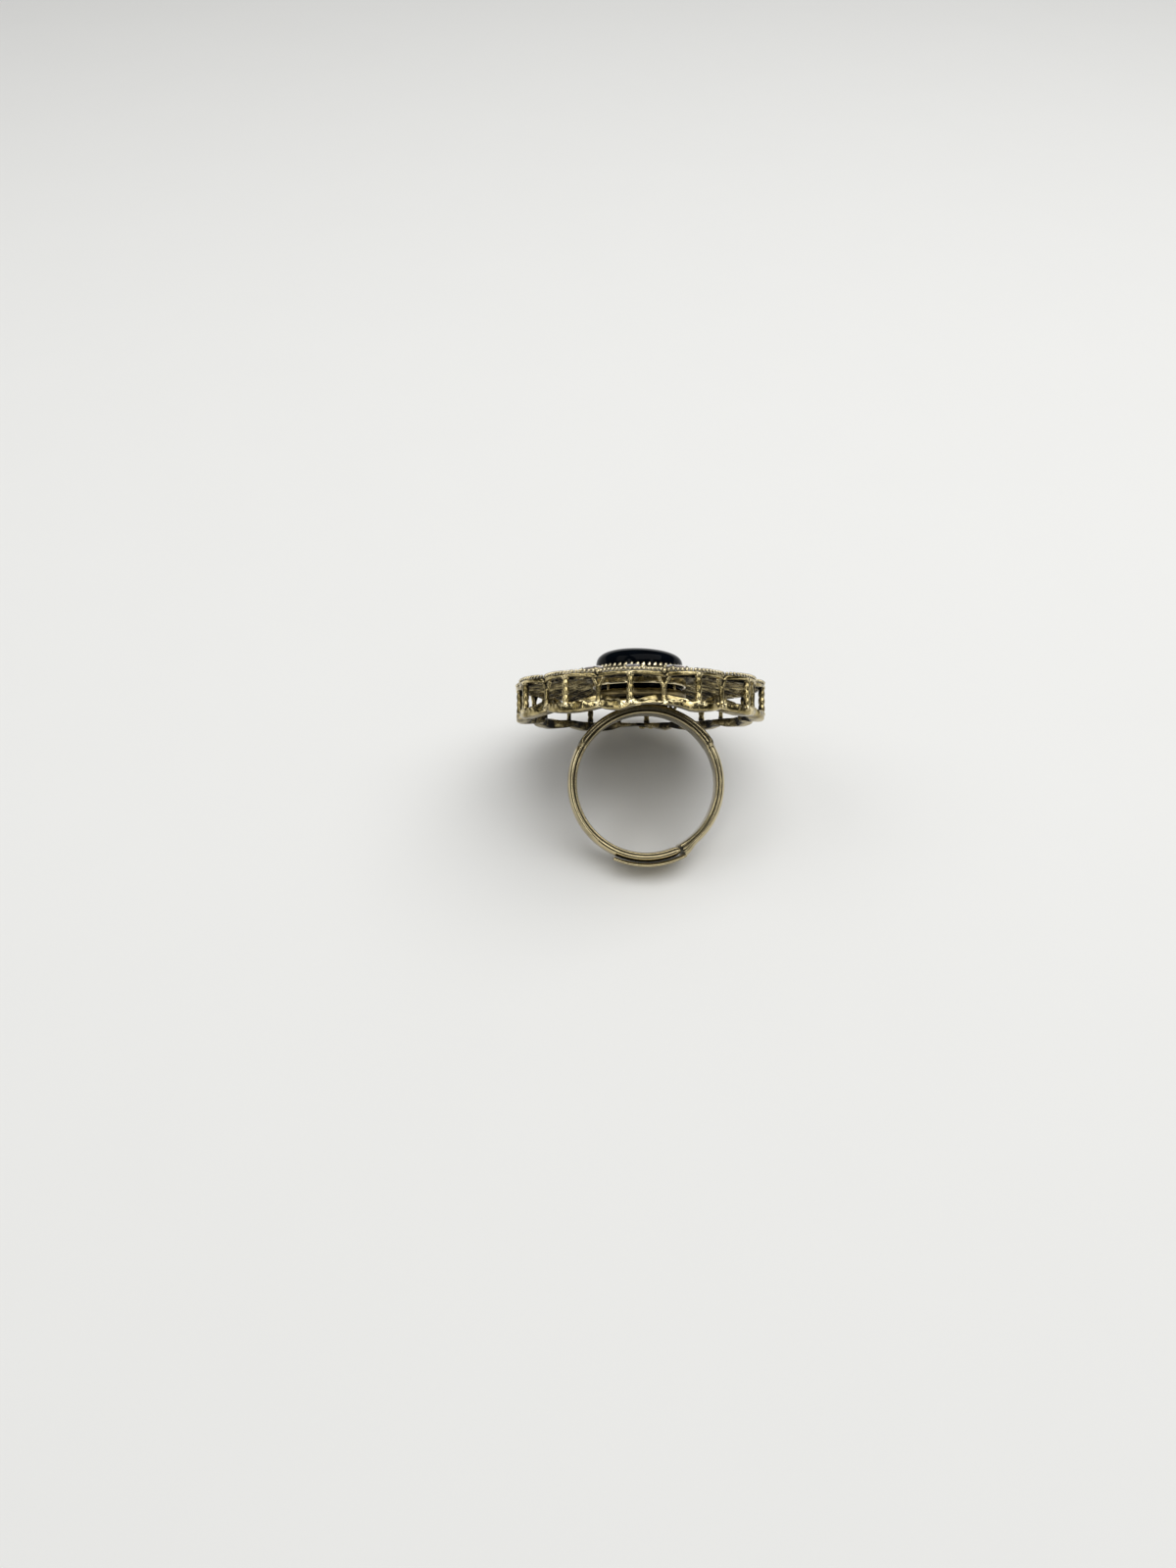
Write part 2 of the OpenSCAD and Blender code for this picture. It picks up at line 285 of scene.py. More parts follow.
# Foil-backed glass: the facets throw the light back like tinted mirrors.
def accentMaterial(name, look):
    material, tree, shader = newMaterial(name)
    shift = tree.objectPlace().noise(look["shiftScale"], 2.0)
    feed(shader, Base_Color=((shift - 0.4) * 4).clip().tint(look["smoke"], look["blush"]),
         Roughness=look["polish"] + (shift - 0.5) * 0.05)
    shader.inputs["Metallic"].default_value = look["foil"]
    shader.inputs["Coat Weight"].default_value = look["coat"]
    shader.inputs["Coat Roughness"].default_value = look["coatPolish"]
    return material


castGold = castMaterial("castGold", castLook)
grainGold = castMaterial("grainGold", grainGoldLitLook)
innerGold = castMaterial("innerGold", innerShadedLook)
solderMetal = castMaterial("solderMetal", solderLook)
bandGold = bandMaterial("bandGold", bandLook)
blackStone = cabochonMaterial("blackStone", cabochonLook)
accentGlass = accentMaterial("accentGlass", accentLook)
print("materials made")


def addObject(name, data):
    made = bpy.data.objects.new(name, data)
    bpy.context.scene.collection.objects.link(made)
    return made


# Makes a mesh object from points in millimetres.
def meshObject(name, points, faces, material=None):
    mesh = bpy.data.meshes.new(name)
    mesh.from_pydata((np.asarray(points, float).reshape(-1, 3) * mm).tolist(), [], faces)
    mesh.update()
    mesh.polygons.foreach_set("use_smooth", [True] * len(mesh.polygons))
    if material:
        mesh.materials.append(material)
    return addObject(name, mesh)


# Angles of evenly spaced points round a ring.
def ringTurns(count):
    return np.arange(count) * 2 * math.pi / count


# Bends a sine or cosine from a circle towards a square.
def squared(value, power):
    return np.sign(value) * np.abs(value) ** power


# Faces of a grid of points; both ways may close on themselves.
def gridFaces(rows, columns, closeRows, closeColumns):
    faces = []
    for i in range(rows if closeRows else rows - 1):
        for j in range(columns if closeColumns else columns - 1):
            a, b = i, (i + 1) % rows
            c, d = j, (j + 1) % columns
            faces.append((a * columns + c, a * columns + d, b * columns + d, b * columns + c))
    return faces


# The two end faces of an open grid whose rows are closed.
def endCaps(rows, columns):
    return [tuple(first + i for i in range(columns)) for first in (0, (rows - 1) * columns)]


# Turns the faces of a closed mesh outwards.
def faceOutwards(piece):
    shape = bmesh.new()
    shape.from_mesh(piece.data)
    bmesh.ops.remove_doubles(shape, verts=shape.verts, dist=1e-7)
    bmesh.ops.recalc_face_normals(shape, faces=shape.faces)
    shape.to_mesh(piece.data)
    shape.free()
    piece.data.update()
    return piece


# A point at an angle from -Y, a radius and a height.
def polar(angle, radius, height):
    return np.stack([radius * np.sin(angle), -radius * np.cos(angle), height + 0 * angle], -1)


# Share of the way from one notch to the next, and how far the lobe stands out there.
def petalShare(angle):
    return np.mod((angle - notchTurn) / petalPitch, 1.0)


def lobe(angle):
    return np.maximum(0.0, np.sin(np.pi * petalShare(angle))) ** 0.8


def outlineR(angle):
    return notchR + scallop * lobe(angle)


noise.seed_set(12)           # gives the same bumps in every run


# Uneven surface of a hand-finished casting.
def roughen(points, depth, scale, seed=0.0):
    flat = points.reshape(-1, 3)
    shift = np.array([noise.noise_vector(Vector(p * scale) + Vector((seed, 0, 0))) for p in flat])
    return points + shift.reshape(points.shape) * depth


# Stores per-point patina and painted shade for the materials to darken by.
def stainAndShadeBy(piece, values):
    stain = piece.data.attributes.new("stain", "FLOAT", "POINT")
    stain.data.foreach_set("value", np.asarray(values, np.float32).ravel())


# Moves a finished piece to its place, hangs it under the root body and hides the CAD nodes that it
# replaces.
def settle(piece, slot, *nodes, centre=headX):
    piece.data.transform(Matrix.Translation((centre * mm, 0, 0)))
    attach(piece, "root")
    if nodes:
        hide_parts(*nodes)
    return piece


# Closed tube along points, with round ends; all in millimetres.
def tube(points, radii, sides=10):
    points = [Vector(p) for p in points]
    rings = []
    for i, p in enumerate(points):
        ahead = (points[min(i + 1, len(points) - 1)] - points[max(i - 1, 0)]).normalized()
        across = ahead.orthogonal().normalized()
        other = ahead.cross(across)
        rings.append([p + (across * math.cos(t) + other * math.sin(t)) * radii[i]
                      for t in ringTurns(sides)])
    start = [points[0]] * sides
    end = [points[-1]] * sides
    rings = np.array([start, *rings, end])
    return rings.reshape(-1, 3), gridFaces(len(rings), sides, False, True)


def joinShapes(*shapes):
    points, faces = [], []
    for p, f in shapes:
        base = sum(len(q) for q in points)
        points.append(np.asarray(p).reshape(-1, 3))
        faces += [tuple(base + i for i in face) for face in f]
    return np.concatenate(points), faces


# Revolves a closed (radius, height) profile about Z.
def revolve(profile, steps, ripple=None):
    profile = np.asarray(profile, float)
    rings = []
    for a in ringTurns(steps):
        r, z = profile[:, 0], profile[:, 1]
        if ripple:
            r, z = ripple(a, r, z)
        rings.append(np.stack([r * math.sin(a), -r * math.cos(a), z], -1))
    return np.array(rings), gridFaces(steps, len(profile), True, True)


# A rounded closed outline through a box of radii and heights.
def softProfile(r0, r1, z0, z1, count=20, square=0.35):
    t = ringTurns(count)
    return np.stack([(r0 + r1) / 2 + (r1 - r0) / 2 * squared(np.cos(t), square),
                     (z0 + z1) / 2 + (z1 - z0) / 2 * squared(np.sin(t), square)], -1)


# Melts loose overlapping shapes into one soft casting.
def melt(piece, cell, soften):
    remesh = piece.modifiers.new("melt", "REMESH")
    remesh.mode = "VOXEL"
    remesh.voxel_size = cell * mm
    remesh.use_smooth_shade = True
    relax = piece.modifiers.new("relax", "SMOOTH")
    relax.factor = 0.5
    relax.iterations = soften
    return plainMesh(piece)


# Replaces an object by the mesh that its modifiers make.
def plainMesh(piece):
    bpy.context.view_layer.update()
    evaluated = piece.evaluated_get(bpy.context.evaluated_depsgraph_get())
    mesh = bpy.data.meshes.new_from_object(evaluated)
    name = piece.name
    bpy.data.objects.remove(piece)
    return addObject(name, mesh)


def newTree(name, **inputs):
    tree = bpy.data.node_groups.new(name, "GeometryNodeTree")
    tree.interface.new_socket(name="Geometry", in_out="INPUT", socket_type="NodeSocketGeometry")
    for label, kind in inputs.items():
        tree.interface.new_socket(name=label, in_out="INPUT", socket_type="NodeSocket" + kind)
    tree.interface.new_socket(name="Geometry", in_out="OUTPUT", socket_type="NodeSocketGeometry")
    start = Wire(tree).add("NodeGroupInput")
    return tree, start


# Repeats a pattern round the Z axis and joins it to the host mesh.
def aroundTree():
    tree, start = newTree("repeatAround", Pattern="Object", Count="Int", Pitch="Float", Turn="Float",
                          Uneven="Float", Seed="Int", Metal="Material")
    count, turn = start.out("Count"), start.out("Turn")
    index = start.add("GeometryNodeInputIndex")
    angle = index * start.out("Pitch") + turn
    euler = start.add("ShaderNodeCombineXYZ", {}, {"Z": angle})
    spin = start.add("FunctionNodeEulerToRotation", {}, {"Euler": euler})
    uneven = start.out("Uneven")
    size = start.add("FunctionNodeRandomValue", {"data_type": "FLOAT"},
                     {2: 1 - uneven, 3: 1 + uneven, "Seed": start.out("Seed")}, 1)
    wide = start.add("ShaderNodeCombineXYZ", {}, {"X": size, "Y": 1.0, "Z": 1.0})
    points = start.add("GeometryNodePoints", {}, {"Count": count})
    shape = start.add("GeometryNodeObjectInfo", {}, {"Object": start.out("Pattern")}, 4)
    copies = start.add("GeometryNodeInstanceOnPoints", {},
                       {"Points": points, "Instance": shape, "Rotation": spin, "Scale": wide})
    whole = start.add("GeometryNodeJoinGeometry", {}, {"Geometry": [start.out("Geometry"), copies]})
    real = start.add("GeometryNodeRealizeInstances", {}, {"Geometry": whole})
    metal = start.add("GeometryNodeSetMaterial", {}, {"Geometry": real, "Material": start.out("Metal")})
    start.add("NodeGroupOutput", {}, {"Geometry": metal})
    return tree


# Sets round grains along the edges of the host mesh.
def grainTree():
    tree, start = newTree("grainsAlongEdge", Pitch="Float", Diameter="Float", Uneven="Float",
                          Seed="Int", Metal="Material")
    uneven = start.out("Uneven")
    line = start.add("GeometryNodeMeshToCurve", {}, {"Mesh": start.out("Geometry")})
    spots = start.add("GeometryNodeResampleCurve", {"mode": "LENGTH"},
                      {"Curve": line, "Length": start.out("Pitch")})
    ball = start.add("GeometryNodeMeshUVSphere", {},
                     {"Segments": 8, "Rings": 6, "Radius": start.out("Diameter") / 2})
    soft = start.add("GeometryNodeSetShadeSmooth", {}, {"Geometry": ball})
    size = start.add("FunctionNodeRandomValue", {"data_type": "FLOAT"},
                     {2: 1 - uneven, 3: 1 + uneven, "Seed": start.out("Seed")}, 1)
    grains = start.add("GeometryNodeInstanceOnPoints", {},
                       {"Points": spots, "Instance": soft, "Scale": size})
    real = start.add("GeometryNodeRealizeInstances", {}, {"Geometry": grains})
    metal = start.add("GeometryNodeSetMaterial", {}, {"Geometry": real, "Material": start.out("Metal")})
    start.add("NodeGroupOutput", {}, {"Geometry": metal})
    return tree


# Runs a tree on a host object and keeps the result as a plain mesh. Copies go all the way round
# unless a pitch is given.
def grow(host, tree, **values):
    if "Count" in values:
        values.setdefault("Pitch", 2 * math.pi / values["Count"])
    modifier = host.modifiers.new("grow", "NODES")
    modifier.node_group = tree
    for item in tree.interface.items_tree:
        if item.in_out == "INPUT" and item.name in values:
            modifier[item.identifier] = values[item.name]
    return plainMesh(host)


repeatAround = aroundTree()
grainsAlongEdge = grainTree()
print("node trees made")


frameLook = {
    "width": 1.9, "top": 0.12, "notchLift": 0.5, "steps": 720, "section": 24,
    "relief": 8.42,          # radius of the hollow for the finger
    "ease": 0.3,             # how softly the hollow starts
    "uneven": 0.07, "lumps": 0.2,
}


# Scalloped back frame: low at the petal tips, lifted at the notches and hollowed for the finger.
def backFrame(look):
    count, ease = look["section"], look["ease"]
    rings = []
    for a in ringTurns(look["steps"]):
        r1 = outlineR(a) - look["lumps"] * 0.7
        low = backZ + look["notchLift"] * (1 - lobe(a)) + 0.03
        outline = softProfile(r1 - look["width"], r1, low, frameTop + look["top"], count, 0.45)
        rings.append(polar(np.full(count, a), outline[:, 0], outline[:, 1]))
    points = roughen(np.array(rings), look["uneven"], 0.9)
    upper = np.clip((points[..., 2] - backZ - 0.55) / 0.3, 0, 1)
    outer = np.clip((np.hypot(points[..., 0], points[..., 1]) - notchR + 1.0) / 0.6, 0, 1)
    lumpy = roughen(points, look["lumps"], 1.8, 7.0) - points
    points = points + lumpy * (upper * outer)[..., None] * 1.15
    z = np.clip(points[..., 2], backZ, frameTop + 0.5)
    across = points[..., 0] + headX
    finger = np.sqrt(np.maximum(look["relief"] ** 2 - across ** 2, 0))
    hollowed = finger + ease * np.exp((z - finger - ease) / (2 * ease))
    points[..., 2] = np.where(z < finger + ease, hollowed, z)
    piece = meshObject("backFrame", points, gridFaces(*points.shape[:2], True, True), castGold)
    # Patina and painted shade on the inward and downward faces of the frame.
    turn = ringTurns(count)
    inward = np.clip(-2 * np.cos(turn) - 0.1, 0, 1)
    under = np.clip(-2 * np.sin(turn) - 1, 0, 1)
    stainAndShadeBy(piece, np.tile(1.3 * inward + 0.4 * under, (look["steps"], 1)))
    return faceOutwards(piece)


leafLook = {"length": 0.52, "width": 0.26, "proud": 0.22, "spread": 0.62, "height": 0.95,
            "inset": 0.28, "sideInset": 0.28, "sideDrop": 0.16, "rows": 7, "columns": 10}


# Three cast leaves at the foot of each beaded post.
def leafPattern(look):
    rows, columns = look["rows"], look["columns"]
    t = np.linspace(0, math.pi, rows)[:, None]
    u = ringTurns(columns)
    shapes = []
    for side in (-1, 0, 1):
        length = look["length"] * np.cos(t) * (0.5 + 0.5 * abs(side))
        x = side * look["spread"] + length + 0 * u
        y = -(headR - look["inset"]) - look["proud"] * np.sin(t) * np.cos(u) + look["sideInset"] * abs(side)
        z = backZ + look["height"] + look["width"] * np.sin(t) * np.sin(u) - look["sideDrop"] * abs(side)
        shapes.append((np.stack([x, y, z], -1), gridFaces(rows, columns, False, True)))
    return meshObject("leafPattern", *joinShapes(*shapes))


webLook = {"webs": 4, "first": -2, "rise": 1.15, "reach": 0.44, "thick": 0.3, "inset": 0.95,
           "lean": 0.35, "steps": 15, "section": 12}


# Leaf-shaped web that climbs from the frame behind a forked post; only the near posts have one.
def webPattern(look):
    steps, count = look["steps"], look["section"]
    rings = []
    for s in np.linspace(-1, 1, steps):
        turn = s * look["reach"] * petalPitch
        r = outlineR(notchTurn + turn) - look["inset"]
        top = frameTop + look["rise"] * (1 - abs(s)) ** 0.8 - 0.05
        outline = softProfile(r - look["thick"], r, frameTop - 0.25, top, count, 0.5)
        outline[:, 0] -= look["lean"] * np.clip(outline[:, 1] - frameTop, 0, 2)
        rings.append(polar(np.full(count, turn), outline[:, 0], outline[:, 1]))
    piece = meshObject("webPattern", roughen(np.array(rings), 0.1, 1.6, 9.0),
                       gridFaces(steps, count, False, True) + endCaps(steps, count))
    # Patina and painted shade on the web's inner side.
    stainAndShadeBy(piece, np.tile(np.cos(ringTurns(count)) < -0.1, steps))
    return piece


# Removes the pattern that a piece was grown from and turns the piece's faces outwards.
def finishPattern(piece, pattern):
    bpy.data.objects.remove(pattern)
    return faceOutwards(piece)


leaves = leafPattern(leafLook)
backFramePiece = grow(backFrame(frameLook), repeatAround, Pattern=leaves, Count=petals, Turn=tipTurn,
                      Uneven=0.12, Seed=3, Metal=castGold)
webs = webPattern(webLook)
backFramePiece = grow(backFramePiece, repeatAround, Pattern=webs, Count=webLook["webs"],
                      Pitch=petalPitch, Turn=notchTurn + webLook["first"] * petalPitch,
                      Uneven=0.08, Seed=8, Metal=castGold)
bpy.data.objects.remove(webs)
finishPattern(backFramePiece, leaves)
settle(backFramePiece, "head_metal", "back_frame")
print("back frame made")


rosetteLook = {
    "plate": 0.78, "rimWidth": 0.85, "steps": 720, "rings": 30, "uneven": 0.035,
    "rimWave": 0.28,         # how far the rim's lower edge rises at a petal tip
    "bulge": 0.22, "groove": 0.42, "grooveWidth": 0.28,
    "border": 0.12, "borderInset": 0.75,
    "veins": 7, "veinDepth": 0.07, "veinStart": 4.2,
    "underRibs": 9, "underDepth": 0.11,
}


# Height of the dished face at a radius, before its relief.
def faceHeight(radius):
    return rimTop + (faceTop - rimTop) * (headR - radius) / (headR - collarR)


def petalRelief(angle, radius, look):
    share = petalShare(angle)
    fromNotch = np.minimum(share, 1 - share) * petalPitch * radius
    outwards = np.clip((radius - collarR) / (headR - collarR), 0, 1)
    crown = look["bulge"] * (np.sin(np.pi * share) ** 0.6 - 0.8) * outwards
    deep = np.clip(outwards * 2.2, 0.15, 1)
    groove = -look["groove"] * np.exp(-(fromNotch / look["grooveWidth"]) ** 2) * deep
    fromEdge = outlineR(angle) - radius
    fromStart = radius - collarR - look["veinStart"]
    fade = np.clip(fromStart / 1.4, 0, 1) * np.clip((fromEdge - 0.5) / 0.6, 0, 1)
    veins = look["veinDepth"] * np.cos(2 * np.pi * look["veins"] * share) * fade
    border = look["border"] * np.clip(1 - np.abs(fromEdge - look["borderInset"]) / 0.25, 0, 1)
    return crown + groove + veins + border


# Dished plate of petals: relief on its face, ribs under it and a rim that hangs at its edge.
def frontRosette(look):
    inner = bezelR - 0.1
    spread = np.linspace(0, 1, look["rings"])
    # Patina and painted shade: none on the face, some on the rim, most on the underside.
    stain = np.concatenate([np.zeros(look["rings"] + 6), np.full(3, 0.5), np.full(look["rings"], 0.8)])
    rings = []
    for a in ringTurns(look["steps"]):
        edge = outlineR(a) - 0.06
        low = rimBottom + look["rimWave"] * lobe(a)
        top = inner + (edge - 0.1 - inner) * spread
        topZ = faceHeight(top) + petalRelief(a, top, look) - 0.04
        outerZ = np.linspace(topZ[-1] - 0.1, low + 0.12, 4)
        back = edge - look["rimWidth"]
        under = inner + (back - inner) * spread[::-1]
        share = petalShare(a)
        ribs = look["underDepth"] * (np.cos(2 * np.pi * look["underRibs"] * share)
                                     + 0.6 * np.cos(2 * np.pi * 3 * share + under * 0.9))
        underZ = faceHeight(under) - look["plate"] + ribs * np.clip((under - collarR + 0.6) / 1.5, 0, 1)
        radii = [top, [edge] * 4, [edge - 0.12, back + 0.12], [back] * 3, under]
        heights = [topZ, outerZ, [low, low], np.linspace(low + 0.12, underZ[0] - 0.08, 3), underZ]
        r, z = np.concatenate(radii), np.concatenate(heights)
        rings.append(polar(np.full(len(r), a), r, z))
    points = roughen(np.array(rings), look["uneven"], 1.3, 3.0)
    points[..., 2] = np.maximum(points[..., 2], rimBottom)
    piece = meshObject("frontRosette", points, gridFaces(*points.shape[:2], True, True), castGold)
    stainAndShadeBy(piece, np.tile(stain, look["steps"]))
    return faceOutwards(piece)


grainLook = {"pitch": 0.49, "diameter": 0.41, "inset": 0.20, "lift": 0.18, "steps": 28,
             "margin": 0.06}          # share of a petal that stays bare at each notch


# The line on which the milled grains stand: every petal edge, from notch to notch.
def grainLine(look):
    points, edges = [], []
    steps, margin = look["steps"], look["margin"]
    for k in range(petals):
        first = len(points)
        for i in range(steps + 1):
            a = notchTurn + (k + margin + (1 - 2 * margin) * i / steps) * petalPitch
            r = outlineR(a) - look["inset"]
            z = faceHeight(r) + petalRelief(np.array(a), r, rosetteLook) + look["lift"]
            points.append(polar(np.array(a), r, z) * mm)
        edges += [(first + i, first + i + 1) for i in range(steps)]
    mesh = bpy.data.meshes.new("grainLine")
    mesh.from_pydata([tuple(p) for p in points], edges, [])
    return addObject("milgrain", mesh)


settle(frontRosette(rosetteLook), "head_metal", "front_rosette")
milgrain = grow(grainLine(grainLook), grainsAlongEdge, Pitch=grainLook["pitch"] * mm,
                Diameter=grainLook["diameter"] * mm, Uneven=0.1, Seed=11, Metal=grainGold)
settle(milgrain, "head_metal")
print("petals and milgrain made")


forkLook = {"stem": 0.34, "prong": 0.24, "spread": 0.62, "forkHeight": 0.95, "inset": 0.42,
            "cell": 0.075}


# Patina and painted shade on the side of a post that faces the head's axis.
def patinaAndShadeBehind(piece, y):
    place = np.array([point.co.y for point in piece.data.vertices]) / mm
    stainAndShadeBy(piece, 0.9 * np.clip((place - y) / 0.12 + 0.3, 0, 1))
    return piece


def forkPattern(look):
    y = -(notchR - look["inset"])
    split = rimBottom - look["forkHeight"]
    thick, thin, spread = look["stem"], look["prong"], look["spread"]
    stem = tube([(0, y + 0.05, postFoot), (0.03, y, postFoot + 0.35), (-0.02, y, (postFoot + split) / 2),
                 (0, y, split + 0.15)], [thick * 1.5, thick * 1.05, thick * 0.8, thick], 12)
    prongs = [tube([(0, y, split - 0.1), (side * spread * 0.55, y, split + 0.45),
                    (side * spread, y + 0.02, rimBottom + 0.25)], [thin, thin * 0.9, thin * 1.2], 10)
              for side in (-1, 1)]
    piece = meshObject("forkPattern", *joinShapes(stem, *prongs))
    return patinaAndShadeBehind(melt(piece, look["cell"], 4), y)


beadPostLook = {"core": 0.31, "bead": 0.41, "beads": 3, "inset": 0.46, "stations": 40, "sides": 14}


def beadPostPattern(look):
    z = np.linspace(postFoot, rimBottom + 0.5, look["stations"])
    pitch = (rimBottom - frameTop) / look["beads"]
    wave = np.abs(np.cos(math.pi * (z - frameTop) / pitch - math.pi / 2)) ** 0.7
    inGallery = np.clip(np.minimum(z - frameTop + 0.2, rimBottom - z + 0.2) / 0.2, 0, 1)
    radius = look["core"] + (look["bead"] - look["core"]) * wave * inGallery + 0.14 * (1 - inGallery)
    y = -(headR - look["inset"])
    points = [(0, y, height) for height in z]
    return patinaAndShadeBehind(meshObject("beadPostPattern", *tube(points, list(radius), look["sides"])), y)


ballLook = {"radius": 0.40, "segments": 16, "rings": 10, "inset": 0.42, "lift": 0.1}


def ballPattern(look):
    rings, segments, r = look["rings"], look["segments"], look["radius"]
    t = np.linspace(0, math.pi, rings)[:, None]
    u = ringTurns(segments)
    x = r * np.sin(t) * np.cos(u)
    y = r * np.sin(t) * np.sin(u) - (notchR - look["inset"])
    z = r * np.cos(t) + 0 * u + rimTop + look["lift"]
    return meshObject("ballPattern", np.stack([x, y, z], -1), gridFaces(rings, segments, False, True))


# Repeats a pattern round the head as one new piece.
def ringOf(name, pattern, count, turn, metal, seed, uneven=0.05):
    host = meshObject(name, np.zeros((0, 3)), [])
    piece = grow(host, repeatAround, Pattern=pattern, Count=count, Turn=turn, Uneven=uneven,
                 Seed=seed, Metal=metal)
    return finishPattern(piece, pattern)


settle(ringOf("forkedPosts", forkPattern(forkLook), petals, notchTurn, castGold, 5),
       "head_metal", "forked_posts")
settle(ringOf("beadedPosts", beadPostPattern(beadPostLook), petals, tipTurn, castGold, 6),
       "head_metal", "beaded_posts")
settle(ringOf("ballBeads", ballPattern(ballLook), petals, notchTurn, grainGold, 7),
       "head_metal", "ball_beads")
print("posts and balls made")


collarLook = {"ribs": 96, "ribDepth": 0.05, "steps": 480}


# Ribbed skirt that rises from the petals to the bezel.
def collarPiece(look):
    foot = faceTop - 0.5
    outer = collarR - 0.05
    profile = [(bezelR, foot), (outer, foot), (outer + 0.04, faceTop - 0.02),
               (outer - 0.1, faceTop + 0.12), (outer - 0.45, faceTop + 0.2),
               (outer - 0.8, faceTop + 0.27), (bezelR + 0.35, collarTop - 0.1),
               (bezelR + 0.12, collarTop), (bezelR, collarTop - 0.02)]
    lift = np.array([0, 0, 0, 0.6, 1, 1, 0.8, 0.2, 0])

    def ripple(a, r, z):
        return r, z + lift * look["ribDepth"] * math.cos(look["ribs"] * a)

    points, faces = revolve(profile, look["steps"], ripple)
    return faceOutwards(meshObject("collar", roughen(points, 0.03, 1.5, 5.0), faces, castGold))


bezelLook = {"teeth": 48, "lean": 0.10, "slant": 0.16, "width": 0.60, "thick": 0.36, "rows": 6,
             "columns": 8}


def toothPattern(look):
    rows, columns = look["rows"], look["columns"]
    foot, tip = collarTop - 0.25, teethTop
    z = np.linspace(foot, tip, rows)
    rise = (z - foot) / (tip - foot)
    wide = look["width"] / 2 * np.sqrt(np.clip(1 - rise ** 2.2, 0, 1))
    u = ringTurns(columns)
    x = wide[:, None] * np.cos(u) + (look["slant"] * (rise - 0.4))[:, None]
    deep = look["thick"] / 2 * np.sqrt(np.clip(1 - rise ** 3, 0, 1))
    y = -(bezelR - 0.2) + (look["lean"] * rise)[:, None] + deep[:, None] * np.sin(u)
    return meshObject("toothPattern", np.stack([x, y, z[:, None] + 0 * u], -1),
                      gridFaces(rows, columns, False, True))


# Bezel tube with its teeth turned over the stone.
def bezelPiece(look):
    profile = softProfile(stoneR + 0.03, bezelR, bezelZ, collarTop + 0.05, 16, 0.3)
    points, faces = revolve(profile, 192)
    host = meshObject("bezel", points, faces, grainGold)
    tooth = toothPattern(look)
    piece = grow(host, repeatAround, Pattern=tooth, Count=look["teeth"], Turn=0.02, Uneven=0.12,
                 Seed=9, Metal=grainGold)
    return finishPattern(piece, tooth)


settle(collarPiece(collarLook), "head_metal", "collar")
settle(bezelPiece(bezelLook), "head_metal", "bezel")
print("collar and bezel made")


stoneLook = {"wall": 3.2, "full": 2.7, "steps": 128, "shoulder": 28, "lean": 0.034, "drop": 0.1}


# Tall cabochon: straight wall, steep shoulders and a nearly flat top.
def cabochonPiece(look):
    domeZ = stoneZ + look["wall"]
    t = np.linspace(0, math.pi / 2, look["shoulder"])
    power = 2 / look["full"]
    dome = [(stoneR * math.cos(a) ** power, domeZ + (stoneTop - domeZ) * math.sin(a) ** power)
            for a in t[:-1]]
    profile = [(0.0, stoneZ), (stoneR - 0.3, stoneZ), (stoneR - 0.06, stoneZ + 0.06),
               (stoneR, stoneZ + 0.3), *dome, (0.0, stoneTop)]
    points, faces = revolve(profile, look["steps"])
    onDome = np.clip((points[..., 2] - domeZ) / (stoneTop - domeZ), 0, 1)
    points[..., 2] -= onDome * (look["lean"] * points[..., 0] + look["drop"])
    faces = [f for f in faces if {i % len(profile) for i in f} != {0, len(profile) - 1}]
    return faceOutwards(meshObject("cabochon", points, faces, blackStone))


settle(cabochonPiece(stoneLook), "cabochon", "cabochon")
print("cabochon made")


accentSizes = {"radius": 1.3, "ringR": 9.8, "base": -0.2, "girdle": 0.22, "table": 0.50,
               "colletHeight": 0.9, "wall": 0.3, "prong": 0.2,
               "sink": 0.22}             # how far the setting is let into the petal


# Puts a shape drawn about Z on the face of petal k.
def onPetal(piece, k, look):
    tilt = math.atan2(faceTop - rimTop, headR - collarR)
    turn = Matrix.Rotation(tipTurn + (k - 1) * petalPitch, 4, "Z")
    lift = Matrix.Translation((0, -look["ringR"] * mm, faceHeight(look["ringR"]) * mm))
    piece.data.transform(turn @ lift @ Matrix.Rotation(tilt, 4, "X"))
    return piece


def accentStone(k, look):
    shape = bmesh.new()
    radius, girdle = look["radius"], look["girdle"]
    rings = [(16, radius - 0.25, look["base"], 0), (16, radius, girdle - 0.12, 0),
             (16, radius, girdle, 0), (8, radius * 0.82, girdle + 0.19, 0.5),
             (8, radius * 0.56, look["table"], 0)]
    for count, r, z, turn in rings:
        for i in range(count):
            a = (i + turn) * 2 * math.pi / count
            shape.verts.new(Vector((r * math.cos(a), r * math.sin(a), z)) * mm)
    bmesh.ops.convex_hull(shape, input=shape.verts)
    bmesh.ops.dissolve_limit(shape, angle_limit=0.01, verts=shape.verts, edges=shape.edges)
    bmesh.ops.recalc_face_normals(shape, faces=shape.faces)
    mesh = bpy.data.meshes.new("accentStone%02d" % k)
    shape.to_mesh(mesh)
    shape.free()
    mesh.materials.append(accentGlass)
    return onPetal(addObject("accentStone%02d" % k, mesh), k, look)


